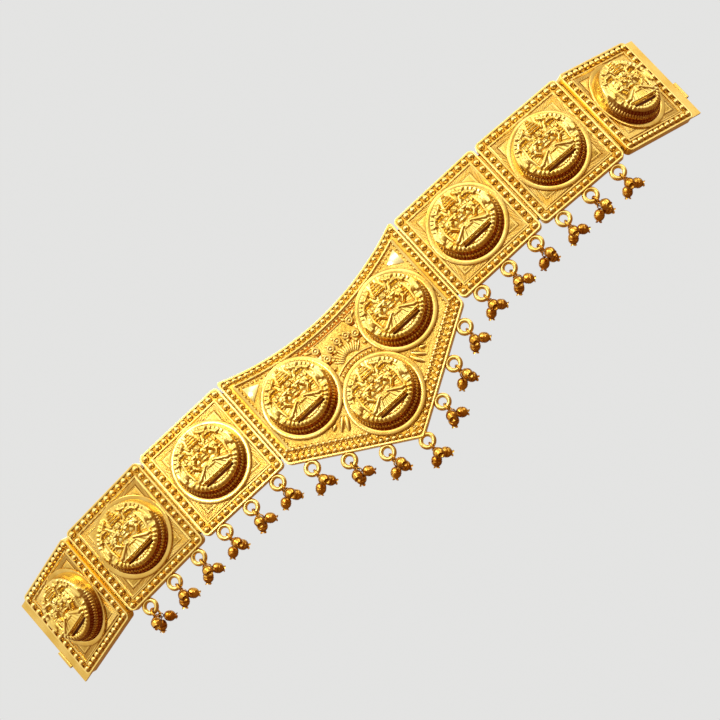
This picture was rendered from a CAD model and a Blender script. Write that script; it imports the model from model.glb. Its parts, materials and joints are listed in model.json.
import json
import math

import bmesh
import bpy
import numpy as np
from mathutils import Matrix, Vector


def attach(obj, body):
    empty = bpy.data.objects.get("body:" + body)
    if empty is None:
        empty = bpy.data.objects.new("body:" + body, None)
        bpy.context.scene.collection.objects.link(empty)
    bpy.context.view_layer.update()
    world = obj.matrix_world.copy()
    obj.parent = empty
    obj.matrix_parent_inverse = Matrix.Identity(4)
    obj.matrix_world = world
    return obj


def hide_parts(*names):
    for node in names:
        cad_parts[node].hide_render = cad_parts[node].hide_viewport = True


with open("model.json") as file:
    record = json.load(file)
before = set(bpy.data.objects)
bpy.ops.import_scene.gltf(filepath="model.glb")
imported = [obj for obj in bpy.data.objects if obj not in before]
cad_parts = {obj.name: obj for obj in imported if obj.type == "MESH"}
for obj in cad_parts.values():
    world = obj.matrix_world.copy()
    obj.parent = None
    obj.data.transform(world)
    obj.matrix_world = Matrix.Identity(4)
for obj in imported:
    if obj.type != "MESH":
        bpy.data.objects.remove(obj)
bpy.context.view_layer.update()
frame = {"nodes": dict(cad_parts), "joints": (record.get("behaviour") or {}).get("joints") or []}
print("belt: frame loaded")

mm = 0.001
standUp = Matrix.Rotation(math.radians(90), 4, "X") @ Matrix.Scale(mm, 4)  # drawn flat in mm, stood up in m

# the stamped plates, in mm
square = dict(width=48.5, height=49.0, corner=2.5, back=2.2, rim=0.75, rimTop=4.04, rimRound=0.16,
              laneWall=0.12, lane=3.24, field=3.3, sunk=3.0)
plaque = dict(square, width=108.0, height=51.0, dip=10.9, drop=33.0, corner=2.2, topSteps=30)
jumpRing = dict(out=3.45, height=2.0, radius=3.0, wire=1.13, pitch=16.4, tipUp=0.66,
                plaqueXs=(-45.0, -30.2, -15.0, 0.0, 15.0, 30.2, 45.0))
hinge = dict(pitch=49.4, behind=0.75, forwardStop=-12.0)
medallionSpots = [(-29.2, -7.0), (29.2, -7.0), (0.0, -31.6)]
seatRadius = 19.3
seatHeight = 3.2  # the plates' own flat front, where a medallion rests
proud = 0.04  # how far the detailed fronts stand outside the plain plates


# where each body's plate stands: its back in the middle, x along the belt, z up
def platePlaces():
    joints = {joint["name"]: joint for joint in frame["joints"]}
    places = {"centre": Matrix.Identity(4)}
    for side, out in (("left", -1), ("right", 1)):
        turn = 0.0
        for step in (1, 2, 3):
            joint = joints[f"{side}_hinge_{step}"]
            turn += out * math.radians(hinge["forwardStop"] - joint["range_deg"][0])
            toMiddle = Matrix.Translation((out * hinge["pitch"] / 2 * mm, hinge["behind"] * mm, 0))
            places[f"{side}_{step}"] = (
                Matrix.Translation(Vector(joint["pos_m"])) @ Matrix.Rotation(turn, 4, "Z") @ toMiddle
            )
    return places


places = platePlaces()


# shader groups that several golds share
def newGroup(name, inputs, outputs):
    group = bpy.data.node_groups.new(name, "ShaderNodeTree")
    for label, value in inputs:
        socket = group.interface.new_socket(name=label, in_out="INPUT", socket_type="NodeSocketFloat")
        socket.default_value = value
    for label in outputs:
        group.interface.new_socket(name=label, in_out="OUTPUT", socket_type="NodeSocketFloat")
    return group, group.nodes.new("NodeGroupInput"), group.nodes.new("NodeGroupOutput")


def mathNode(nodes, links, operation, first, second, clamp=False):
    node = nodes.new("ShaderNodeMath")
    node.operation = operation
    node.use_clamp = clamp
    for socket, value in zip(node.inputs, (first, second)):
        if isinstance(value, (int, float)):
            socket.default_value = value
        else:
            links.new(value, socket)
    return node.outputs[0]


# dark in corners and between beads
def makeRecessGroup():
    group, given, put = newGroup("recess", [("Reach", 0.001), ("Start", 0.4), ("Gain", 1.6)], ["Mask"])
    nodes, links = group.nodes, group.links
    shade = nodes.new("ShaderNodeAmbientOcclusion")
    shade.samples = 6
    links.new(given.outputs["Reach"], shade.inputs["Distance"])
    hidden = mathNode(nodes, links, "SUBTRACT", 1.0, shade.outputs["AO"])
    hidden = mathNode(nodes, links, "SUBTRACT", hidden, given.outputs["Start"], True)
    links.new(mathNode(nodes, links, "MULTIPLY", hidden, given.outputs["Gain"], True), put.inputs["Mask"])
    return group


# uneven plating: a slow tone, the ripple of beaten sheet and a fine polish grain
def makePlatingGroup():
    scales = [("Tone Scale", 120.0), ("Ripple Scale", 800.0), ("Grain Scale", 2600.0)]
    group, given, put = newGroup("plating", scales, ["Tone", "Ripple", "Grain"])
    nodes, links = group.nodes, group.links
    place = nodes.new("ShaderNodeTexCoord")
    noises = [("Tone Scale", 3.0, "Tone"), ("Ripple Scale", 2.0, "Ripple"), ("Grain Scale", 2.0, "Grain")]
    for scale, detail, output in noises:
        noise = nodes.new("ShaderNodeTexNoise")
        noise.inputs["Detail"].default_value = detail
        links.new(place.outputs["Object"], noise.inputs["Vector"])
        links.new(given.outputs[scale], noise.inputs["Scale"])
        links.new(noise.outputs["Fac"], put.inputs[output])
    return group


recessGroup = makeRecessGroup()
platingGroup = makePlatingGroup()

# bright and warm metal, what lies deep, and the darker edge; lengths in m
golds = {
    "platedGold": dict(
        bright=(0.96, 0.74, 0.24), warm=(0.88, 0.60, 0.14), deep=(0.46, 0.17, 0.012), edge=0.3,
        rough=(0.22, 0.34), reach=0.0013, start=0.5, gain=1.3, grain=0.00003),
    "beadGold": dict(
        bright=(1.0, 0.80, 0.28), warm=(1.0, 0.70, 0.18), deep=(0.56, 0.24, 0.02), edge=0.12,
        rough=(0.24, 0.34), reach=0.0012, start=0.6, gain=1.0, grain=0.00003),
    "ringGold": dict(
        bright=(0.80, 0.54, 0.14), warm=(0.66, 0.39, 0.07), deep=(0.34, 0.11, 0.008), edge=0.5,
        rough=(0.15, 0.30), reach=0.0010, start=0.45, gain=1.3, grain=0.00004),
    "fieldGold": dict(
        bright=(0.76, 0.50, 0.11), warm=(0.56, 0.32, 0.045), deep=(0.34, 0.11, 0.008), edge=0.0,
        rough=(0.28, 0.40), reach=0.0024, start=0.30, gain=1.8, grain=0.00030),
    "polishedGold": dict(
        bright=(1.0, 0.86, 0.42), warm=(1.0, 0.78, 0.28), deep=(0.50, 0.20, 0.015), edge=0.3,
        rough=(0.14, 0.24), reach=0.0010, start=0.5, gain=1.2, grain=0.00001),
    "laneGold": dict(
        bright=(0.84, 0.52, 0.08), warm=(0.72, 0.39, 0.04), deep=(0.30, 0.075, 0.004), edge=0.0,
        rough=(0.30, 0.42), reach=0.0014, start=0.30, gain=2.2, grain=0.00005),
    "amberGold": dict(
        bright=(0.46, 0.15, 0.012), warm=(0.34, 0.09, 0.006), deep=(0.18, 0.035, 0.003), edge=0.0,
        rough=(0.26, 0.40), reach=0.0012, start=0.35, gain=1.2, grain=0.00004),
    "reliefGold": dict(
        bright=(0.96, 0.75, 0.23), warm=(0.92, 0.62, 0.125), deep=(0.27, 0.030, 0.003), edge=0.15,
        rough=(0.22, 0.36), reach=0.0010, start=0.55, gain=0.9, grain=0.00005, shadeMap="shade"),
    "bellGold": dict(
        bright=(0.94, 0.54, 0.09), warm=(0.62, 0.27, 0.025), deep=(0.10, 0.02, 0.003), edge=1.6,
        rough=(0.12, 0.24), reach=0.0030, start=0.22, gain=1.8, grain=0.00002),
    "backGold": dict(
        bright=(0.90, 0.62, 0.17), warm=(0.78, 0.50, 0.10), deep=(0.26, 0.09, 0.01), edge=0.0,
        rough=(0.30, 0.45), reach=0.0015, start=0.35, gain=1.4, grain=0.00006),
}
surface = dict(toneFrom=0.36, toneTo=0.66, edgePower=2.0, wear=0.10, smoother=0.05, bump=0.6, fine=0.3,
               black=(0.055, 0.014, 0.003))


def makeGold(name, look):
    material = bpy.data.materials.new(name)
    material.use_nodes = True
    nodes, links = material.node_tree.nodes, material.node_tree.links
    shader = nodes["Principled BSDF"]
    shader.inputs["Metallic"].default_value = 1.0
    plating = nodes.new("ShaderNodeGroup")
    plating.node_tree = platingGroup
    recess = nodes.new("ShaderNodeGroup")
    recess.node_tree = recessGroup
    for label in ("Reach", "Start", "Gain"):
        recess.inputs[label].default_value = look[label.lower()]
    mask = recess.outputs["Mask"]
    if "shadeMap" in look:
        shadeMap = nodes.new("ShaderNodeAttribute")
        shadeMap.attribute_name = look["shadeMap"]
        mask = mathNode(nodes, links, "MAXIMUM", mask, shadeMap.outputs["Fac"], True)
    if look["edge"]:
        weight = nodes.new("ShaderNodeLayerWeight")
        away = mathNode(nodes, links, "POWER", weight.outputs["Facing"], surface["edgePower"])
        away = mathNode(nodes, links, "MULTIPLY", away, look["edge"], True)
        mask = mathNode(nodes, links, "MAXIMUM", mask, away, True)
    tone = nodes.new("ShaderNodeMapRange")
    tone.inputs["From Min"].default_value = surface["toneFrom"]
    tone.inputs["From Max"].default_value = surface["toneTo"]
    links.new(plating.outputs["Tone"], tone.inputs["Value"])
    colour = colourMix(nodes, links, tone.outputs["Result"], look["bright"], look["warm"])
    colour = colourMix(nodes, links, mask, colour, look["deep"])
    if "shadeMap" in look:
        black = mathNode(nodes, links, "SUBTRACT", shadeMap.outputs["Fac"], 1.0, True)
        colour = colourMix(nodes, links, black, colour, surface["black"])
    links.new(colour, shader.inputs["Base Color"])
    smooth, dull = look["rough"]
    rough = mathNode(nodes, links, "MULTIPLY", mask, dull - smooth)
    wear = mathNode(nodes, links, "MULTIPLY", plating.outputs["Grain"], surface["wear"])
    rough = mathNode(nodes, links, "ADD", rough, wear)
    rough = mathNode(nodes, links, "ADD", rough, smooth - surface["smoother"], True)
    links.new(rough, shader.inputs["Roughness"])
    bump = nodes.new("ShaderNodeBump")
    bump.inputs["Strength"].default_value = surface["bump"]
    bump.inputs["Distance"].default_value = look["grain"]
    fine = mathNode(nodes, links, "MULTIPLY", plating.outputs["Grain"], surface["fine"])
    links.new(mathNode(nodes, links, "ADD", plating.outputs["Ripple"], fine), bump.inputs["Height"])
    links.new(bump.outputs["Normal"], shader.inputs["Normal"])
    return material


def colourMix(nodes, links, factor, first, second):
    mix = nodes.new("ShaderNodeMix")
    mix.data_type = "RGBA"
    links.new(factor, mix.inputs["Factor"])
    for label, value in (("A", first), ("B", second)):
        socket = [one for one in mix.inputs if one.name == label and one.type == "RGBA"][0]
        if isinstance(value, tuple):
            socket.default_value = (*value, 1.0)
        else:
            links.new(value, socket)
    return [one for one in mix.outputs if one.type == "RGBA"][0]


materials = {name: makeGold(name, look) for name, look in golds.items()}
print("belt: golds made")


# places a mesh drawn flat in mm on a body's plate, and hands it over to the frame
def seat(bm, name, body, materialNames, spot=(0.0, 0.0), height=0.0, hides=(), sharp=40.0):
    bm.transform(standUp @ Matrix.Translation((spot[0], spot[1], height)))
    hand(bm, name, body, materialNames, hides, sharp)


def hand(bm, name, body, materialNames, hides=(), sharp=40.0):
    bm.transform(places[body])
    mesh = bpy.data.meshes.new(name)
    bm.to_mesh(mesh)
    bm.free()
    mesh.shade_smooth()
    mesh.set_sharp_from_angle(angle=math.radians(sharp))
    for materialName in materialNames:
        mesh.materials.append(materials[materialName])
    piece = intoScene(name, mesh)
    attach(piece, body)
    if hides:
        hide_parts(*hides)


def intoScene(name, data):
    made = bpy.data.objects.new(name, data)
    bpy.context.scene.collection.objects.link(made)
    return made


def turned(degrees, axis):
    return Matrix.Rotation(math.radians(degrees), 4, axis)


def paint(faces, index):
    for face in faces:
        face.material_index = index


# the golds of a plate's front, in the order of its material slots
frontGolds = ["platedGold", "fieldGold", "polishedGold", "laneGold", "amberGold", "beadGold"]


# puts one small part in many places of a larger mesh
def addCopies(bm, part, matrices, gold="platedGold"):
    mesh = bpy.data.meshes.new("part")
    part.to_mesh(mesh)
    part.free()
    old = len(bm.faces)
    for matrix in matrices:
        copy = mesh.copy()
        copy.transform(matrix)
        bm.from_mesh(copy)
        bpy.data.meshes.remove(copy)
    bpy.data.meshes.remove(mesh)
    bm.faces.ensure_lookup_table()
    paint(bm.faces[old:], frontGolds.index(gold))


def lifted(spots, height):
    return [Matrix.Translation((x, y, height)) for x, y in spots]


# round beads, half sunk in the field
def addBeads(bm, spots, radius, height, gold="platedGold", around=14, rows=8):
    bead = bmesh.new()
    bmesh.ops.create_uvsphere(bead, u_segments=around, v_segments=rows, radius=radius)
    addCopies(bm, bead, lifted(spots, height), gold)


# an oval bump lying along a direction, as a stamped leaf or rib; a turn of 0 degrees points up
def addGrain(bm, x, y, height, length, width, turn, gold="platedGold", around=10, rows=8):
    matrix = (Matrix.Translation((x, y, height)) @ turned(-turn, "Z")
              @ Matrix.Diagonal((width / 2, length / 2, width / 2, 1)) @ turned(90, "X"))
    grain = bmesh.new()
    bmesh.ops.create_uvsphere(grain, u_segments=around, v_segments=rows, radius=1.0)
    addCopies(bm, grain, [matrix], gold)


# a round body spun from a line of radius and height
def spinProfile(bm, profile, steps, closed=False):
    verts = [bm.verts.new((radius, 0, height)) for radius, height in profile]
    edges = [bm.edges.new(pair) for pair in zip(verts, verts[1:] + (verts[:1] if closed else []))]
    bmesh.ops.spin(bm, geom=verts + edges, cent=(0, 0, 0), axis=(0, 0, 1), angle=2 * math.pi, steps=steps,
                   use_merge=True)


# plain rings of round wire, lying flat until their matrices turn them
def addRings(bm, radius, wire, matrices, around=28, sides=12):
    ring = bmesh.new()
    turns = [2 * math.pi * i / sides for i in range(sides)]
    profile = [(radius + wire * math.cos(turn), wire * math.sin(turn)) for turn in turns]
    spinProfile(ring, profile, around, closed=True)
    bmesh.ops.recalc_face_normals(ring, faces=ring.faces)
    addCopies(bm, ring, matrices)


# a front cut to an outline: side walls, a rim with rounded edges, the bead lane and on it the field
def frontShell(bm, outline, fieldOutline, cornerVerts, look):
    verts = [bm.verts.new((x, y, look["back"])) for x, y in outline]
    bm.faces.new(verts)
    bmesh.ops.bevel(bm, geom=[verts[index] for index in cornerVerts], offset=look["corner"],
                    offset_type="OFFSET", affect="VERTICES", segments=6, profile=0.5, material=-1)
    raised = bmesh.ops.extrude_face_region(bm, geom=list(bm.faces), use_keep_orig=True)
    top = [one for one in raised["geom"] if isinstance(one, bmesh.types.BMFace)]
    topVerts = [one for one in raised["geom"] if isinstance(one, bmesh.types.BMVert)]
    bmesh.ops.translate(bm, verts=topVerts, vec=(0, 0, look["rimTop"] - look["back"]))
    outerEdges = list(top[0].edges)
    bmesh.ops.inset_region(bm, faces=top, thickness=look["rim"], use_even_offset=True)
    rimEdges = outerEdges + list(top[0].edges)
    bmesh.ops.inset_region(bm, faces=top, thickness=look["laneWall"], use_even_offset=True)
    bmesh.ops.translate(bm, verts=top[0].verts, vec=(0, 0, look["lane"] - look["rimTop"]))
    paint(top, frontGolds.index("laneGold"))
    bmesh.ops.recalc_face_normals(bm, faces=bm.faces)
    bmesh.ops.bevel(bm, geom=rimEdges, offset=look["rimRound"], offset_type="OFFSET", affect="EDGES",
                    segments=3, profile=0.5, material=-1, clamp_overlap=True)
    addPlaque(bm, fieldOutline, look["back"], look["field"], "fieldGold", 0)


# the jump rings soldered under a plate, a shade larger than the plain ones they cover
def addJumpRings(bm, spots):
    addRings(bm, jumpRing["radius"], jumpRing["wire"], lifted(spots, jumpRing["height"]), 40, 16)


# a wire half sunk along a path, as a chased line or a soldered ridge
def addWire(bm, path, height, radius, closed=False):
    curve = bpy.data.curves.new("wire", "CURVE")
    curve.dimensions = "3D"
    curve.bevel_depth = radius
    curve.bevel_resolution = 2
    curve.use_fill_caps = True
    spline = curve.splines.new("POLY")
    spline.points.add(len(path) - 1)
    for point, (x, y) in zip(spline.points, path):
        point.co = (x, y, height, 1)
    spline.use_cyclic_u = closed
    holder = intoScene("wire", curve)
    bm.from_mesh(holder.evaluated_get(bpy.context.evaluated_depsgraph_get()).to_mesh())
    bpy.data.objects.remove(holder)
    bpy.data.curves.remove(curve)


# what lies on a square plate, in from its edge
squareTrim = dict(
    beadRadius=1.7, beadInset=2.55, beadsPerSide=12, beadHeight=3.45,
    ridgeInset=5.15, ridgeRadius=0.6, ridgeHeight=3.5, innerRidgeInset=8.15, innerRidgeRadius=0.3,
    ribInset=5.75, ribWidth=2.1, ribPitch=0.85, ribHeight=0.26, ribBase=3.45, ribDepth=0.6,
    triangleInset=8.7, triangleLeg=6.2, triangleTop=3.72)


def boxPath(inset):
    halfW = square["width"] / 2 - inset
    halfH = square["height"] / 2 - inset
    return [(-halfW, -halfH), (halfW, -halfH), (halfW, halfH), (-halfW, halfH)]


# a corrugated strip down one side, its ends cut to a mitre
def addRibs(bm, look, quarter):
    long = (square["width"], square["height"])[quarter % 2] / 2 - look["ribInset"]
    across = (square["height"], square["width"])[quarter % 2] / 2 - look["ribInset"]
    ribs = int(2 * long / look["ribPitch"])
    made = bmesh.ops.create_grid(bm, x_segments=2 * ribs, y_segments=1, size=1.0)
    for vert in made["verts"]:
        outer = vert.co.y > 0
        reach = long if outer else long - look["ribWidth"]
        crest = round((vert.co.x + 1) * ribs) % 2
        vert.co = (vert.co.x * reach, across - (0 if outer else look["ribWidth"]),
                   look["ribBase"] + crest * look["ribHeight"])
    quarterTurn = Matrix.Rotation(math.radians(-90 * quarter), 3, "Z")
    bmesh.ops.rotate(bm, verts=made["verts"], cent=(0, 0, 0), matrix=quarterTurn)
    linked = dict.fromkeys(edge for vert in made["verts"] for edge in vert.link_edges)
    skirt = bmesh.ops.extrude_edge_only(bm, edges=[edge for edge in linked if edge.is_boundary])
    foot = [one for one in skirt["geom"] if isinstance(one, bmesh.types.BMVert)]
    bmesh.ops.translate(bm, verts=foot, vec=(0, 0, -look["ribDepth"]))


# a raised flat shape, with a bevelled edge if asked
def addPlaque(bm, corners, low, top, gold, bevel=0.14):
    old = set(bm.faces)
    face = bm.faces.new([bm.verts.new((x, y, low)) for x, y in corners])
    if face.normal.z < 0:
        face.normal_flip()
    raised = bmesh.ops.extrude_face_region(bm, geom=[face], use_keep_orig=True)
    verts = [one for one in raised["geom"] if isinstance(one, bmesh.types.BMVert)]
    bmesh.ops.translate(bm, verts=verts, vec=(0, 0, top - low))
    if bevel:
        edges = [edge for edge in bm.edges if edge.verts[0] in verts and edge.verts[1] in verts]
        bmesh.ops.bevel(bm, geom=edges, offset=bevel, offset_type="OFFSET", affect="EDGES", segments=2,
                        profile=0.5, material=-1)
    new = [one for one in bm.faces if one not in old]
    paint(new, frontGolds.index(gold))
    bmesh.ops.recalc_face_normals(bm, faces=new)


def makeSquare():
    look = squareTrim
    bm = bmesh.new()
    field = boxPath(look["ridgeInset"])
    frontShell(bm, boxPath(-proud), field, range(4), square)
    halfW, halfH = boxPath(look["beadInset"])[2]
    last = look["beadsPerSide"] - 1
    steps = [2 * i / last - 1 for i in range(last + 1)]
    spots = [(s * halfW, side * halfH) for s in steps for side in (-1, 1)]
    spots += [(side * halfW, s * halfH) for s in steps[1:-1] for side in (-1, 1)]
    addBeads(bm, spots, look["beadRadius"], look["beadHeight"], "beadGold")
    addWire(bm, field, look["ridgeHeight"], look["ridgeRadius"], closed=True)
    inner = boxPath(look["innerRidgeInset"])
    addWire(bm, inner, look["ridgeHeight"], look["innerRidgeRadius"], closed=True)
    for quarter in range(4):
        addRibs(bm, look, quarter)
    x, y = boxPath(look["triangleInset"])[2]
    leg = look["triangleLeg"]
    for sx in (-1, 1):
        for sy in (-1, 1):
            corners = [(sx * x, sy * y), (sx * (x - leg), sy * y), (sx * x, sy * (y - leg))]
            addPlaque(bm, corners, square["sunk"], look["triangleTop"], "fieldGold")
    return bm


# the centre plaque's edges, moved in by an inset
dipRadius = ((plaque["width"] / 2) ** 2 + plaque["dip"] ** 2) / (2 * plaque["dip"])
dipMiddle = plaque["height"] / 2 - plaque["dip"] + dipRadius
pointHeight = -plaque["height"] / 2 - plaque["drop"]
slope = plaque["drop"] / (plaque["width"] / 2)


def topEdge(x, inset):
    return dipMiddle - math.sqrt((dipRadius + inset) ** 2 - x * x)


def lowEdge(x, inset):
    return pointHeight + inset * math.hypot(1, slope) + slope * abs(x)


def plaquePath(sideInset, topInset, lowInset):
    half = plaque["width"] / 2 - sideInset
    steps = plaque["topSteps"]
    xs = [half - 2 * half * i / steps for i in range(steps + 1)]
    return [(x, topEdge(x, topInset)) for x in xs] + [(x, lowEdge(x, lowInset)) for x in (-half, 0.0, half)]


# even steps along a path, for beads and short bars
def spaced(path, pitch, closed=True):
    ends = path + path[:1] if closed else path
    lengths = [math.dist(a, b) for a, b in zip(ends, ends[1:])]
    total = sum(lengths)
    count = round(total / pitch)
    spots = []
    for i in range(count + (0 if closed else 1)):
        left = total * i / count
        for (a, b), length in zip(zip(ends, ends[1:]), lengths):
            if left <= length + 1e-9:
                spots.append(tuple(Vector(a).lerp(Vector(b), left / length)))
                break
            left -= length
    return spots


def clearOfSeats(spot, gap):
    return all(math.dist(spot, middle) > seatRadius + gap for middle in medallionSpots)


# keeps only the runs of a path that no medallion covers
def openRuns(path, gap):
    runs = [[]]
    for spot in path:
        if clearOfSeats(spot, gap):
            runs[-1].append(spot)
        elif runs[-1]:
            runs.append([])
    return [run for run in runs if len(run) > 1]


# on the plaque: a low row is inset, bead radius and pitch, a triangle its top and corners
plaqueTrim = dict(
    outerInset=2.15, outerRadius=1.4, outerPitch=3.05, outerHeight=3.3,
    fieldInsets=(5.2, 4.6, 6.3), ridgeRadius=0.85, ridgeHeight=3.3, ridgeStep=1.0, ridgeGap=-0.3,
    lowRows=((6.4, 1.25, 2.95), (4.25, 0.85, 2.95)), rowEnds=(50.0, 0.7), rowHeight=3.4, rowGap=0.4,
    triangles=((3.8, (46.6, 15.0), (46.6, 6.6), (39.4, 11.4)), (3.6, (9.9, 1.6), (13.4, 2.6), (11.4, -2.2))))


def plaqueFront(name, body):
    look = plaqueTrim
    bm = bmesh.new()
    last = plaque["topSteps"]
    fieldPath = plaquePath(*look["fieldInsets"])
    frontShell(bm, plaquePath(-proud, -proud, -proud), fieldPath, (0, last, last + 1, last + 3), plaque)
    inset = look["outerInset"]
    outer = spaced(plaquePath(inset, inset, inset), look["outerPitch"])
    addBeads(bm, outer, look["outerRadius"], look["outerHeight"], "beadGold")
    fine = spaced(fieldPath, look["ridgeStep"])
    for run in openRuns(fine + fine[:1], look["ridgeGap"]):
        addWire(bm, run, look["ridgeHeight"], look["ridgeRadius"])
    for side in (-1, 1):
        for inset, radius, pitch in look["lowRows"]:
            row = spaced([(side * x, lowEdge(x, inset)) for x in look["rowEnds"]], pitch, False)
            row = [spot for spot in row if clearOfSeats(spot, look["rowGap"])]
            addBeads(bm, row, radius, look["rowHeight"], "beadGold")
    addStrip(bm, stripLook)
    addRays(bm, rayLook)
    addCurls(bm, curlLook)
    addArcs(bm, arcLook)
    for side in (-1, 1):
        addLeafFan(bm, leafLook, side)
        for top, *corners in look["triangles"]:
            addPlaque(bm, [(side * x, y) for x, y in corners], plaque["sunk"], top, "polishedGold")
    addJumpRings(bm, [hangSpot(x) for x in jumpRing["plaqueXs"]])
    seat(bm, name, body, frontGolds)


# the middle of the jump ring under the plaque's edge at x
def hangSpot(x):
    away = Vector((math.copysign(slope, x) if x else 0.0, -1)) / math.hypot(1, slope)
    edge = Vector((x, lowEdge(x, 0.0 if x else jumpRing["tipUp"])))
    return edge + away * jumpRing["out"]


# the dark channel of small beads under the dip
stripLook = dict(half=17.4, insets=(5.6, 8.0), height=3.34, steps=29, beadRadius=0.55, pitch=1.7,
                 wire=0.3, wireHalf=17.6, above=0.1)


def addStrip(bm, look):
    xs = np.linspace(-look["half"], look["half"], look["steps"])
    upper, lower = [[(x, topEdge(x, inset)) for x in xs] for inset in look["insets"]]
    addPlaque(bm, lower + upper[::-1], plaque["sunk"], look["height"], "amberGold", 0)
    count = int(2 * look["half"] / look["pitch"])
    middle = sum(look["insets"]) / 2
    xs = [look["pitch"] * (i - (count - 1) / 2) for i in range(count)]
    height = look["height"] + look["above"]
    addBeads(bm, [(x, topEdge(x, middle)) for x in xs], look["beadRadius"], height, around=8, rows=6)
    xs = np.linspace(-look["wireHalf"], look["wireHalf"], look["steps"])
    for inset in look["insets"]:
        addWire(bm, [(x, topEdge(x, inset)) for x in xs], height, look["wire"])


def onArc(middle, reach, degrees):
    turn = math.radians(degrees)
    return middle[0] + reach * math.sin(turn), middle[1] + reach * math.cos(turn)


# rays that spread above the low medallion, every other one shorter
rayLook = dict(middle=(0.0, -12.3), ends=(4.9, 11.2), each=6, step=8.0, shorter=0.7, width=1.35, height=3.25)


def addRays(bm, look):
    near, far = look["ends"]
    for i in range(-look["each"], look["each"] + 1):
        cut = look["shorter"] * (i % 2)
        turn = i * look["step"]
        x, y = onArc(look["middle"], (near + far - cut) / 2, turn)
        addGrain(bm, x, y, look["height"], far - near - cut, look["width"], turn)


# an arc of curls over the rays and one more on each side, with a bead, a stalk and a leaf each
curlLook = dict(
    middle=(0.0, -12.3), reach=13.4, each=2, step=20.0, top=(10.4, 4.3), radius=1.35, wire=0.68, height=3.55,
    beadRadius=0.85, beadHeight=3.75, lean=2.0,
    stalk=dict(down=2.2, height=3.2, length=3.4, width=1.5, turn=90),
    leaf=dict(left=1.1, spread=0.1, up=2.3, height=3.25, length=2.6, width=1.5, turn=-35),
    endLeaf=dict(out=3.4, up=1.9, height=3.25, length=4.6, width=1.7, turn=58))


def addCurls(bm, look):
    turns = [i * look["step"] for i in range(-look["each"], look["each"] + 1)]
    curls = [onArc(look["middle"], look["reach"], turn) for turn in turns]
    topX, topY = look["top"]
    curls += [(-topX, topY), (topX, topY)]
    addRings(bm, look["radius"], look["wire"], lifted(curls, look["height"]), around=18, sides=8)
    addBeads(bm, curls, look["beadRadius"], look["beadHeight"], "polishedGold", around=10, rows=7)
    stalk, leaf, end = look["stalk"], look["leaf"], look["endLeaf"]
    for x, y in curls:
        lean = look["lean"] * x
        addGrain(bm, x, y - stalk["down"], stalk["height"], stalk["length"], stalk["width"],
                 stalk["turn"] + lean, "amberGold")
        addGrain(bm, x - leaf["left"] - leaf["spread"] * x, y + leaf["up"], leaf["height"], leaf["length"],
                 leaf["width"], leaf["turn"] + lean)
    for side in (-1, 1):
        addGrain(bm, side * (topX + end["out"]), topY + end["up"], end["height"], end["length"], end["width"],
                 side * end["turn"])


# a wire and a bead row in arcs round the low medallion's top
arcLook = dict(wireGap=3.0, wireRadius=0.62, wireHeight=3.35, wireTurns=range(-34, 35, 2), wireClear=0.4,
               beadGap=1.25, beadRadius=0.95, beadHeight=3.3, beadTurns=range(-36, 37, 6), beadClear=0.9)


def addArcs(bm, look):
    low = medallionSpots[2]
    arc = [onArc(low, seatRadius + look["wireGap"], turn) for turn in look["wireTurns"]]
    arc = [spot for spot in arc if clearOfSeats(spot, look["wireClear"])]
    addWire(bm, arc, look["wireHeight"], look["wireRadius"])
    arc = [onArc(low, seatRadius + look["beadGap"], turn) for turn in look["beadTurns"]]
    arc = [spot for spot in arc if clearOfSeats(spot, look["beadClear"])]
    addBeads(bm, arc, look["beadRadius"], look["beadHeight"], around=12, rows=7)


# leaves that spread from where two medallions meet, down to the border
leafLook = dict(apex=(17.7, -22.3), angles=(8, 25, 42, 60), ends=(4.2, 13.0), steps=14, fewest=4, width=2.7,
                height=2.85, clear=0.5, lowInset=8.0)


def addLeafFan(bm, look, side):
    for angle in look["angles"]:
        reaches = np.linspace(*look["ends"], look["steps"])
        spots = [(reach, onArc(look["apex"], reach, 180 - angle)) for reach in reaches]
        free = [reach for reach, spot in spots
                if clearOfSeats(spot, look["clear"]) and spot[1] > lowEdge(spot[0], look["lowInset"])]
        if len(free) >= look["fewest"]:
            x, y = onArc(look["apex"], (free[0] + free[-1]) / 2, 180 - angle)
            addGrain(bm, side * x, y, look["height"], free[-1] - free[0], look["width"], -side * angle,
                     around=16, rows=12)


squareHang = -square["height"] / 2 - jumpRing["out"]
plateBodies = [f"{side}_{step}" for side in ("left", "right") for step in (1, 2, 3)]
squareMesh = makeSquare()
for plateBody in plateBodies:
    side, step = plateBody.split("_")
    front = squareMesh.copy()
    if step != "3":
        addJumpRings(front, [(x * jumpRing["pitch"], squareHang) for x in (-1, 0, 1)])
    seat(front, f"{side}_front_{step}", plateBody, frontGolds)
squareMesh.free()
plaqueFront("centre_front", "centre")
print("belt: plate fronts made")


# the domed medallions: one stamped relief, seated nine times
dome = dict(
    height=6.0, topRadius=16.2, footRadius=17.1, footHeight=0.45, lipRadius=14.9, lipUp=1.2, lipFoot=18.1,
    lipBlend=(3.0, -3.0), topBand=(5.1, 5.95),
    ringRadius=18.0, ringHalf=1.3, ringTop=1.15, ringFoot=0.2, ringRound=0.15, ringStep=15,
    segments=288, step=0.22, wallFrom=15.4, wallStep=0.15, under=((19.3, -0.02), (19.0, -0.06), (0.0, -0.06)))

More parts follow.
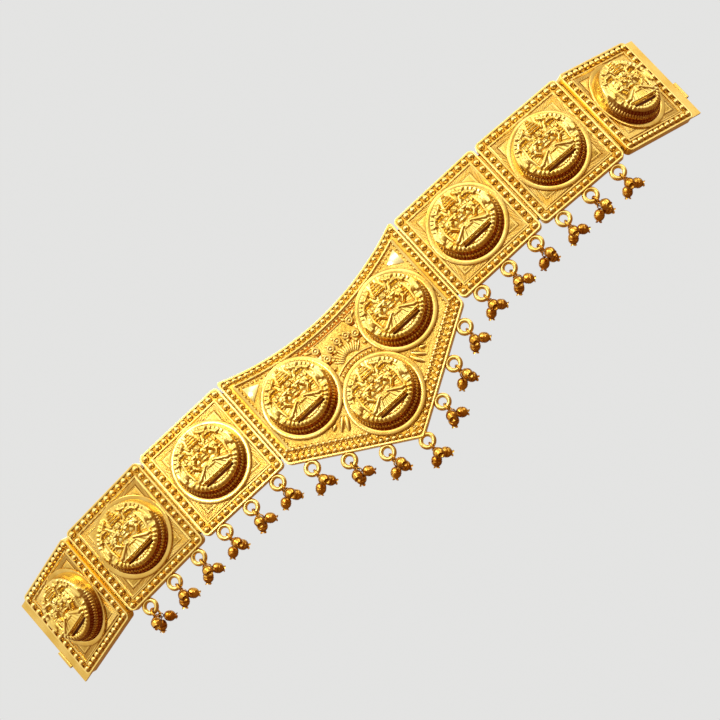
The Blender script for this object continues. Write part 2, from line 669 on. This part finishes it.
# rounded forms of the seated figure and its frame, right half: x, z, half width, half height, rise, turn
domeForms = [
    (0.0, 2.7, 3.1, 2.9, 2.1, 0), (0.0, 0.9, 2.5, 1.3, 2.2, 0), (1.9, 3.7, 1.9, 1.5, 2.6, 12),
    (0.0, 7.0, 2.1, 2.8, 3.0, 0), (2.4, 6.8, 0.6, 1.1, 2.0, 0), (8.1, -5.2, 2.5, 1.7, 2.6, 0),
    (7.5, 9.3, 2.5, 1.5, 2.3, 0), (5.0, 12.6, 1.2, 2.2, 1.8, 32), (8.6, 12.0, 1.0, 2.0, 1.5, -24),
    (11.9, 7.2, 1.6, 1.1, 1.6, 0), (12.2, -4.4, 1.5, 1.0, 1.5, 0), (0.0, 15.3, 0.9, 0.9, 2.2, 0),
    (4.9, -1.3, 1.5, 1.0, 2.5, 20), (12.6, 2.0, 1.1, 3.4, 1.1, 0),
]
# round bars of the same: from x, z to x, z, first and last radius, rise
domeBars = [
    (0.0, 4.9, 5.0, 4.8, 1.7, 1.6, 2.3), (5.0, 4.8, 7.4, 3.4, 1.5, 1.3, 2.1),
    (7.4, 2.9, 7.3, 6.4, 1.4, 1.15, 2.0), (5.2, 3.6, 6.9, 0.9, 1.5, 1.2, 2.3),
    (6.9, 0.9, 5.0, -1.1, 1.2, 1.0, 2.4), (2.3, -1.7, 8.1, -5.2, 1.3, 1.8, 2.6),
    (0.0, -7.1, 8.8, -7.0, 0.8, 0.8, 2.2), (9.9, 6.2, 10.7, 1.0, 0.8, 0.9, 1.5),
    (10.7, 1.0, 9.7, -4.6, 0.9, 0.8, 1.5), (0.0, 9.9, 2.4, 9.8, 0.85, 0.75, 3.0),
    (0.0, 11.3, 2.1, 11.25, 0.8, 0.7, 2.8), (0.0, 12.6, 1.7, 12.6, 0.75, 0.65, 2.6),
    (0.0, 13.8, 1.2, 13.8, 0.7, 0.6, 2.4), (3.3, 9.0, 4.4, 11.4, 0.8, 0.5, 1.5),
    (3.3, 6.2, 4.4, 7.6, 0.8, 0.6, 1.4),
]
# small touches added on top, and cuts where the rise is below nought: from x, z to x, z, radius, rise
domeTouches = [
    (0.62, 7.6, 1.2, 7.55, 0.26, 0.2), (0.4, 8.3, 1.5, 8.2, 0.17, 0.14), (0.0, 8.0, 0.0, 6.8, 0.28, 0.42),
    (0.0, 6.7, 0.3, 6.7, 0.2, 0.2), (0.0, 6.0, 0.55, 6.05, 0.2, 0.22), (0.0, 5.3, 0.3, 5.3, 0.35, 0.15),
    (5.6, 2.2, 6.8, 2.8, 0.3, 0.35), (6.4, 5.4, 8.3, 5.5, 0.3, 0.3), (6.2, 9.4, 8.8, 9.4, 0.3, 0.3),
    (0.9, 0.0, 3.5, -0.1, 0.75, -2.0), (5.3, 7.35, 9.9, 7.4, 0.55, -1.4), (0.0, 4.25, 1.1, 4.35, 0.4, -1.0),
    (3.9, -0.9, 9.4, -3.6, 0.4, -0.8), (5.9, 14.2, 6.9, 11.4, 0.5, -0.9), (0.0, -3.5, 2.0, -3.5, 0.25, -0.5),
    (9.2, 4.6, 9.4, -2.6, 0.35, -0.6), (14.1, 0.2, 15.4, 0.2, 0.3, -0.5),
]
# the sheet round the figure, a shade higher within the arch and finely combed
ground = dict(rise=0.35, inner=0.5, innerReach=(12.9, 12.3), innerUp=(-1, 2), combRise=0.05, combReach=(6, 9))
combs = 48  # marks in a whole turn
# pleated cloth spread over the crossed legs, wider towards the seat
cloth = dict(top=-0.5, foot=-6.9, half=3.0, waist=-0.9, flare=1.1, soft=0.3, foldsFrom=3.0, rise=2.05,
             fold=0.16, folds=30)
# two necklaces by radius and middle, on the chest alone
necklace = dict(rows=((3.0, 6.6), (4.3, 6.8)), half=3.0, top=5.0, foot=1.0, rise=0.16, bead=0.1, pitch=4.0,
                width=(0.4, 0.1))
# an arch over the figure, with comb marks outside it
arch = dict(turns=(14, 20, 94, 100), reach=13.6, half=0.7, rise=1.1, markReach=(14.0, 14.4, 15.8, 16.2),
            markBase=0.8375, mark=0.1575, markTurns=(75, 65))
# the dark slot under the seat, and the petals of the lip below it
slot = dict(height=-9.05, half=(0.72, 0.38), ends=(8.2, 7.2), depth=1.6)
lipPetal = dict(turn=4.0, reach=13.35, half=1.7, rise=1.5, gap=0.55, turns=(64, 60), below=-5)
# bead rows on the slope under the lip: reach, half width, turn of one bead, boldness
slopeRows = [(15.5, 0.42, 6.4, 0.4), (16.5, 0.62, 4.8, 1.0), (17.45, 0.36, 6.4, 0.4)]
slopeLook = dict(turns=(86, 80), rise=0.85, flutes=36, flute=0.28, fluteReach=(17.1, 16.6), narrow=1.1)


def roundForm(x, z, middleX, middleZ, halfWidth, halfHeight, rise, turn):
    c, s = math.cos(math.radians(turn)), math.sin(math.radians(turn))
    u = ((x - middleX) * c + (z - middleZ) * s) / halfWidth
    v = ((z - middleZ) * c - (x - middleX) * s) / halfHeight
    return rise * np.sqrt(np.clip(1 - u * u - v * v, 0, 1))


def roundBar(x, z, ax, az, bx, bz, first, last, rise):
    run = (bx - ax) ** 2 + (bz - az) ** 2
    along = np.clip(((x - ax) * (bx - ax) + (z - az) * (bz - az)) / run, 0, 1)
    away = np.hypot(x - ax - along * (bx - ax), z - az - along * (bz - az)) / (first + (last - first) * along)
    return rise * np.sqrt(np.clip(1 - away * away, 0, 1))


def smoothStep(low, high, value):
    t = np.clip((value - low) / (high - low), 0, 1)
    return t * t * (3 - 2 * t)


# the drum's own height: flat top, sloping wall, and below a longer slope under a round lip
def drumHeight(x, z):
    look = dome
    fall = look["height"] - look["footHeight"]
    reach = np.hypot(x, z)
    wall = look["height"] - fall * (reach - look["topRadius"]) / (look["footRadius"] - look["topRadius"])
    lip = np.hypot(x, z - look["lipUp"])
    under = fall * np.clip((lip - look["lipRadius"]) / (look["lipFoot"] - look["lipRadius"]), 0, 1)
    under = look["height"] - under * smoothStep(*look["lipBlend"], z)
    return np.clip(np.minimum(wall, under), look["footHeight"], look["height"])


def groundRise(z, reach, turn):
    look = ground
    inner = look["inner"] * smoothStep(*look["innerReach"], reach) * smoothStep(*look["innerUp"], z)
    comb = look["combRise"] * np.cos(np.radians(turn * combs)) * smoothStep(*look["combReach"], reach)
    return look["rise"] + inner + comb


def clothRise(half, z):
    look = cloth
    spread = np.degrees(np.arctan2(half, look["foldsFrom"] - z))
    past = half - look["half"] + (z - look["waist"]) * look["flare"]
    inside = smoothStep(look["soft"], -look["soft"], past) * (z < look["top"]) * (z > look["foot"])
    return inside * (look["rise"] + look["fold"] * np.cos(np.radians(spread * look["folds"])))


def necklaceRise(half, z):
    look = necklace
    onChest = (half < look["half"]) & (z < look["top"]) & (z > look["foot"])
    rise = np.zeros_like(half)
    for radius, middle in look["rows"]:
        away = np.abs(np.hypot(half, z - middle) - radius)
        bead = look["bead"] * np.cos(np.arctan2(half, middle - z) * radius * look["pitch"])
        rise = rise + onChest * (look["rise"] + bead) * smoothStep(*look["width"], away)
    return rise


def archRise(reach, turn):
    look = arch
    first, full, fullEnd, last = look["turns"]
    inArch = smoothStep(last, fullEnd, turn) * smoothStep(first, full, turn)
    band = look["rise"] * np.sqrt(np.clip(1 - ((reach - look["reach"]) / look["half"]) ** 2, 0, 1))
    first, full, fullEnd, last = look["markReach"]
    inMarks = smoothStep(first, full, reach) * smoothStep(last, fullEnd, reach)
    mark = look["mark"] * np.cos(np.radians(turn * combs)) * smoothStep(*look["markTurns"], turn)
    return inArch * np.maximum(band, inMarks * (look["markBase"] + mark))


def lipRise(z, lip, lipTurn):
    look = lipPetal
    across = (np.mod(lipTurn + look["turn"], 2 * look["turn"]) - look["turn"]) / look["turn"]
    along = (lip - look["reach"]) / look["half"]
    rise = look["rise"] * np.sqrt(np.clip(1 - across ** 2 * look["gap"] - along ** 2, 0, 1))
    return rise * smoothStep(*look["turns"], lipTurn) * (z < look["below"])


def seatSlot(half, z):
    return smoothStep(*slot["half"], np.abs(z - slot["height"])) * smoothStep(*slot["ends"], half)


# the distance and the turn from the middle of the lip, which lies above the dome's own
def lipPlace(half, z):
    return np.hypot(half, z - dome["lipUp"]), np.degrees(np.arctan2(half, dome["lipUp"] - z))


def slopePetals(lip, lipTurn):
    petals = np.zeros_like(lip)
    for middle, half, pitch, bold in slopeRows:
        across = (np.mod(lipTurn + pitch / 2, pitch) - pitch / 2) / (pitch / 2) * slopeLook["narrow"]
        one = bold * np.sqrt(np.clip(1 - across ** 2 - ((lip - middle) / half) ** 2, 0, 1))
        petals = np.maximum(petals, one)
    return petals


def domeHeight(x, z):
    half = np.abs(x)
    reach = np.hypot(x, z)
    turn = np.degrees(np.arctan2(half, z))
    lip, lipTurn = lipPlace(half, z)
    base = drumHeight(x, z)
    onTop = smoothStep(*dome["topBand"], base)

    rise = groundRise(z, reach, turn)
    for form in domeForms:
        rise = np.maximum(rise, roundForm(half, z, *form))
    for bar in domeBars:
        rise = np.maximum(rise, roundBar(half, z, *bar))
    rise = np.maximum(rise, clothRise(half, z))
    for ax, az, bx, bz, radius, more in domeTouches:
        rise = rise + roundBar(half, z, ax, az, bx, bz, radius, radius, more)
    rise = np.maximum(rise + necklaceRise(half, z), archRise(reach, turn))
    inSlot = seatSlot(half, z)
    rise = rise * (1 - inSlot) - slot["depth"] * inSlot
    rise = np.maximum(rise, lipRise(z, lip, lipTurn) * (1 - inSlot))
    height = base + onTop * rise

    # beads on the slope under the lip, and flutes up the rest of the wall
    look = slopeLook
    onSlope = smoothStep(*look["turns"], lipTurn) * (z < 0)
    height = height + (1 - onTop) * onSlope * look["rise"] * slopePetals(lip, lipTurn)
    onWall = (1 - onTop) * (1 - onSlope) * smoothStep(*look["fluteReach"], reach)
    return height + onWall * look["flute"] * np.abs(np.cos(np.radians(turn * look["flutes"])))


# how far a spot lies below what is round it, on a fine raster, for the dark plating in the hollows
hollow = dict(cell=0.16, taps=9, spread=3.6, gain=0.85, start=0.16, most=0.85, rim=0.6)
# the dark plating of the slope: where it starts, how it fades to the sides, what its beads lose
slopeTone = dict(lip=(14.9, 15.15), low=(1, -4), fade=0.4, fadeTurns=(35, 80), dark=1.15, onBeads=0.95,
                 inSlot=2)


def domeShade():
    look = hollow
    count = int(2 * seatRadius / look["cell"]) + 1
    line = (np.arange(count) - (count - 1) / 2) * look["cell"]
    x, z = np.meshgrid(line, line, indexing="ij")
    height = domeHeight(x, z)
    around = height.copy()
    shifts = range(-look["taps"], look["taps"] + 1)
    taps = np.exp(-0.5 * (np.array(shifts) / look["spread"]) ** 2)
    taps = taps / taps.sum()
    for axis in (0, 1):
        around = sum(tap * np.roll(around, shift, axis) for tap, shift in zip(taps, shifts))
    inside = np.hypot(x, z) < dome["topRadius"] - look["rim"]
    return count, np.clip((around - height) * look["gain"] - look["start"], 0, look["most"]) * inside


def wallShade(x, z):
    look = slopeTone
    lip, lipTurn = lipPlace(np.abs(x), z)
    low = smoothStep(*look["lip"], lip) * smoothStep(*look["low"], z)
    low = low * (1.0 - look["fade"] * smoothStep(*look["fadeTurns"], lipTurn))
    low = low * (look["dark"] - look["onBeads"] * slopePetals(lip, lipTurn))
    return np.maximum(low, look["inSlot"] * seatSlot(np.abs(x), z))  # above 1 is black


def makeDome():
    look = dome
    bm = bmesh.new()
    flag = 100.0  # marks what the relief will shape
    reach = list(np.arange(0, look["wallFrom"], look["step"]))
    reach += list(np.arange(look["wallFrom"], look["footRadius"], look["wallStep"]))
    profile = [(r, flag) for r in reach]
    for degrees in range(180, -1, -look["ringStep"]):
        turn = math.radians(degrees)
        rise = look["ringTop"] * math.sin(turn) ** look["ringRound"]
        profile.append((look["ringRadius"] + look["ringHalf"] * math.cos(turn), look["ringFoot"] + rise))
    spinProfile(bm, profile + list(look["under"]), look["segments"])
    bmesh.ops.remove_doubles(bm, verts=bm.verts, dist=1e-4)
    paint([face for face in bm.faces if face.calc_center_median().xy.length > look["footRadius"]], 1)
    shadeLayer = bm.verts.layers.float.new("shade")
    shaped = [vert for vert in bm.verts if vert.co.z > flag / 2]
    x = np.array([vert.co.x for vert in shaped])
    z = np.array([vert.co.y for vert in shaped])
    heights = domeHeight(x, z)
    count, shade = domeShade()
    column, row = (np.clip(np.rint(value / hollow["cell"] + (count - 1) / 2).astype(int), 0, count - 1)
                   for value in (x, z))
    dark = np.maximum(shade[column, row], wallShade(x, z))
    for vert, height, value in zip(shaped, heights, dark):
        vert.co.z = height
        vert[shadeLayer] = value
    bmesh.ops.recalc_face_normals(bm, faces=bm.faces)
    return bm


domeMesh = makeDome()
seats = []
for label, spot in zip(("left", "right", "low"), medallionSpots):
    seats.append((f"centre_{label}_medallion", "centre", spot))
for body in plateBodies:
    side, step = body.split("_")
    seats.append((f"{side}_medallion_{step}", body, (0.0, 0.0)))
for node, body, spot in seats:
    seat(domeMesh.copy(), f"{node}_relief", body, ["reliefGold", "ringGold"], spot,
         seatHeight, [node], sharp=75)
domeMesh.free()
print("belt: medallions seated")

# links and little bells under the jump rings, in mm: x along the belt, y to the back, z up
bellLook = dict(linkZ=-3.68, linkRadius=2.45, linkWire=0.55, eyeRadius=1.2, eyeWire=0.25, hang=0.28,
                tilt=45.0, around=32, mouth=6.9, mouthDepth=0.7, cut=0.75, pinch=0.3, slits=0.5)
bellRows = [(-47, 275, -70), (10, 163, 12), (34, 33, -37)]  # place round the link, turn, roll
# the turn of each drop, and -1 where it is mirrored
squareTurns = [[(-18, 1), (12, -1), (4, 1)], [(15, 1), (-8, -1), (20, -1)],
               [(6, -1), (-14, 1), (18, 1)], [(-20, 1), (10, 1), (-6, -1)]]
centreTurns = [(8, 1), (-15, -1), (18, 1), (0, 1), (-10, -1), (14, 1), (-4, -1)]
# a bell from its crown down to its mouth and up inside: radius, drop
bellProfile = [
    (0.0, 1.3), (0.42, 1.3), (0.75, 1.55), (1.5, 1.85), (2.15, 2.5), (2.45, 3.3), (2.5, 3.9), (2.36, 4.0),
    (2.36, 4.15), (2.56, 4.25), (2.56, 4.6), (2.36, 4.7), (2.36, 4.85), (2.46, 4.95), (2.3, 5.5),
    (1.85, 6.15), (1.35, 6.6), (1.2, 6.85), (1.4, 7.2), (1.66, 7.6), (1.42, 7.55), (1.1, 7.2), (0.85, 6.8),
    (0.5, 6.5), (0.0, 6.4)]


def addBell(bm, matrix):
    look = bellLook
    old = set(bm.verts)
    spinProfile(bm, [(radius, -down) for radius, down in bellProfile], look["around"])
    bmesh.ops.remove_doubles(bm, verts=[vert for vert in bm.verts if vert not in old], dist=1e-4)
    # the mouth is split in four petals
    for vert in bm.verts:
        if vert not in old and vert.co.z < -look["mouth"]:
            gap = 1 - abs(math.sin(2 * math.atan2(vert.co.y, vert.co.x))) ** look["slits"]
            low = (-vert.co.z - look["mouth"]) / look["mouthDepth"]
            vert.co.z += look["cut"] * low * gap
            vert.co.xy *= 1 - look["pinch"] * low * gap
    addRings(bm, look["eyeRadius"], look["eyeWire"], [turned(90, "X")], 20, 8)
    bmesh.ops.transform(bm, matrix=matrix, verts=[vert for vert in bm.verts if vert not in old])


def addDrop(node, body, x, z, turn):
    look = bellLook
    bm = bmesh.new()
    addRings(bm, look["linkRadius"], look["linkWire"], [turned(90, "Y")])
    for spot, azimuth, roll in bellRows:
        onLink = turned(spot, "X") @ Matrix.Translation((0, 0, -look["linkRadius"])) @ turned(-spot, "X")
        lean = turned(azimuth, "Z") @ turned(-look["tilt"], "Y") @ turned(roll, "Z")
        addBell(bm, onLink @ lean @ Matrix.Translation((0, 0, -look["hang"])))
    angle, handed = turn
    bm.transform(Matrix.Translation((x, -jumpRing["height"], z)) @ turned(angle, "Z")
                 @ Matrix.Diagonal((handed, 1, 1, 1)) @ Matrix.Translation((0, 0, look["linkZ"])))
    bmesh.ops.recalc_face_normals(bm, faces=bm.faces)
    bm.transform(Matrix.Scale(mm, 4))
    hand(bm, f"{node}_bells", body, ["bellGold"], [node], sharp=55)


for index, x in enumerate(jumpRing["plaqueXs"]):
    spot = hangSpot(x)
    addDrop(f"centre_drop_{index + 1}", "centre", spot.x, spot.y, centreTurns[index])
for body, turns in zip(("left_2", "left_1", "right_1", "right_2"), squareTurns):
    side, step = body.split("_")
    for index, letter in enumerate("abc"):
        x = (index - 1) * jumpRing["pitch"]
        addDrop(f"{side}_drop_{step}{letter}", body, x, squareHang, turns[index])
print("belt: bells hung")

for node, part in frame["nodes"].items():
    part.data.materials.clear()
    part.data.materials.append(materials["bellGold" if "drop" in node or "pin" in node else "backGold"])

floorLook = dict(height=-0.62, size=6.0, colour=(0.80, 0.79, 0.77), rough=0.8)
lamps = dict(
    key=dict(place=(-0.25, -1.1, 1.15), size=(0.6, 0.4), power=7.0, colour=(1.0, 0.97, 0.92)),
    front=dict(place=(0.45, -1.9, 0.75), size=(1.4, 0.35), power=3.5, colour=(1.0, 0.97, 0.92)),
    side=dict(place=(1.5, -0.35, 0.5), size=(0.5, 0.9), power=3.5, colour=(1.0, 0.96, 0.90)),
    back=dict(place=(0.0, 1.4, 0.9), size=(1.2, 0.8), power=5.0, colour=(1.0, 0.98, 0.95)),
)
glint = dict(body="left_1", size=(0.09, 0.09), power=0.5, colour=(1.0, 1.0, 1.0), distance=1.0)
lampTarget = Vector((0, 0, -0.01))
camera = dict(distance=1.502, azimuth=-2.75, elevation=-14.85, roll=-42.19, lens=165.85, sensor=36,
              middle=(340.4, 344.3), frame=720, nearest=0.01)
room = dict(colour=(0.86, 0.86, 0.85), strength=0.9)
# what the metal mirrors: height from below to above, colour
mirroredRoom = [(0.0, (0.24, 0.11, 0.04)), (1.0, (0.95, 0.92, 0.86)), (0.40, (0.32, 0.16, 0.06)),
                (0.50, (0.62, 0.48, 0.33)), (0.58, (0.92, 0.87, 0.79)), (0.8, (1.2, 1.16, 1.08))]


def addFloor(look):
    bm = bmesh.new()
    bmesh.ops.create_grid(bm, x_segments=1, y_segments=1, size=look["size"])
    bmesh.ops.translate(bm, verts=bm.verts, vec=(0, 0, look["height"]))
    mesh = bpy.data.meshes.new("paleFloor")
    bm.to_mesh(mesh)
    bm.free()
    material = bpy.data.materials.new("paleFloor")
    material.use_nodes = True
    shader = material.node_tree.nodes["Principled BSDF"]
    shader.inputs["Base Color"].default_value = (*look["colour"], 1)
    shader.inputs["Roughness"].default_value = look["rough"]
    mesh.materials.append(material)
    floor = intoScene("paleFloor", mesh)
    floor.visible_glossy = False


def addLamp(name, look, place, target):
    light = bpy.data.lights.new(name, "AREA")
    light.shape = "RECTANGLE"
    light.size, light.size_y = look["size"]
    light.energy = look["power"]
    light.color = look["colour"]
    holder = intoScene(name, light)
    turn = (target - place).to_track_quat("-Z", "Y")
    holder.matrix_world = Matrix.Translation(place) @ turn.to_matrix().to_4x4()
    holder.visible_camera = False


# a small lamp that one plate alone mirrors
def addGlint(look):
    plate = places[look["body"]]
    outward = (plate.to_3x3() @ Vector((0, -1, 0))).normalized()
    toCamera = (bpy.context.scene.camera.matrix_world.translation - plate.translation).normalized()
    toLamp = 2 * outward.dot(toCamera) * outward - toCamera
    addLamp("glint", look, plate.translation + toLamp * look["distance"], plate.translation)


# a pale room, but what the metal mirrors is bright above and dark below
def addWorld():
    world = bpy.data.worlds.new("paleRoom")
    world.use_nodes = True
    nodes, links = world.node_tree.nodes, world.node_tree.links
    plain = nodes["Background"]
    plain.inputs["Color"].default_value = (*room["colour"], 1)
    plain.inputs["Strength"].default_value = room["strength"]
    mirrored = nodes.new("ShaderNodeBackground")
    place = nodes.new("ShaderNodeTexCoord")
    apart = nodes.new("ShaderNodeSeparateXYZ")
    ramp = nodes.new("ShaderNodeValToRGB")
    links.new(place.outputs["Generated"], apart.inputs["Vector"])
    half = mathNode(nodes, links, "MULTIPLY", apart.outputs["Z"], 0.5)
    links.new(mathNode(nodes, links, "ADD", half, 0.5), ramp.inputs["Fac"])
    stops = ramp.color_ramp.elements
    for index, (height, colour) in enumerate(mirroredRoom):
        stop = stops[index] if index < 2 else stops.new(height)
        stop.position = height
        stop.color = (*colour, 1)
    links.new(ramp.outputs["Color"], mirrored.inputs["Color"])
    seen = nodes.new("ShaderNodeLightPath")
    mix = nodes.new("ShaderNodeMixShader")
    links.new(seen.outputs["Is Glossy Ray"], mix.inputs["Fac"])
    links.new(plain.outputs["Background"], mix.inputs[1])
    links.new(mirrored.outputs["Background"], mix.inputs[2])
    links.new(mix.outputs["Shader"], nodes["World Output"].inputs["Surface"])
    bpy.context.scene.world = world


# a long lens below the belt, rolled so that the belt runs up to the right
def addCamera(look):
    azimuth, elevation, roll = (math.radians(look[label]) for label in ("azimuth", "elevation", "roll"))
    ahead = Vector((math.sin(azimuth), math.cos(azimuth), 0))
    forward = math.cos(elevation) * ahead - math.sin(elevation) * Vector((0, 0, 1))
    level = Vector((math.cos(azimuth), -math.sin(azimuth), 0))
    upright = level.cross(forward)
    right = math.cos(roll) * level + math.sin(roll) * upright
    up = -math.sin(roll) * level + math.cos(roll) * upright
    lens = bpy.data.cameras.new("camera")
    lens.sensor_width = look["sensor"]
    lens.lens = look["lens"]
    lens.shift_x = (look["frame"] / 2 - look["middle"][0]) / look["frame"]
    lens.shift_y = (look["middle"][1] - look["frame"] / 2) / look["frame"]
    lens.clip_start = look["nearest"]
    holder = intoScene("camera", lens)
    turn = Matrix((right, up, -forward)).transposed().to_4x4()
    holder.matrix_world = Matrix.Translation(-forward * look["distance"]) @ turn
    bpy.context.scene.camera = holder


addFloor(floorLook)
for name, look in lamps.items():
    addLamp(name, look, Vector(look["place"]), lampTarget)
addWorld()
addCamera(camera)
addGlint(glint)
bpy.context.scene.view_settings.view_transform = "Standard"
print("belt: stage, lamps and camera set")
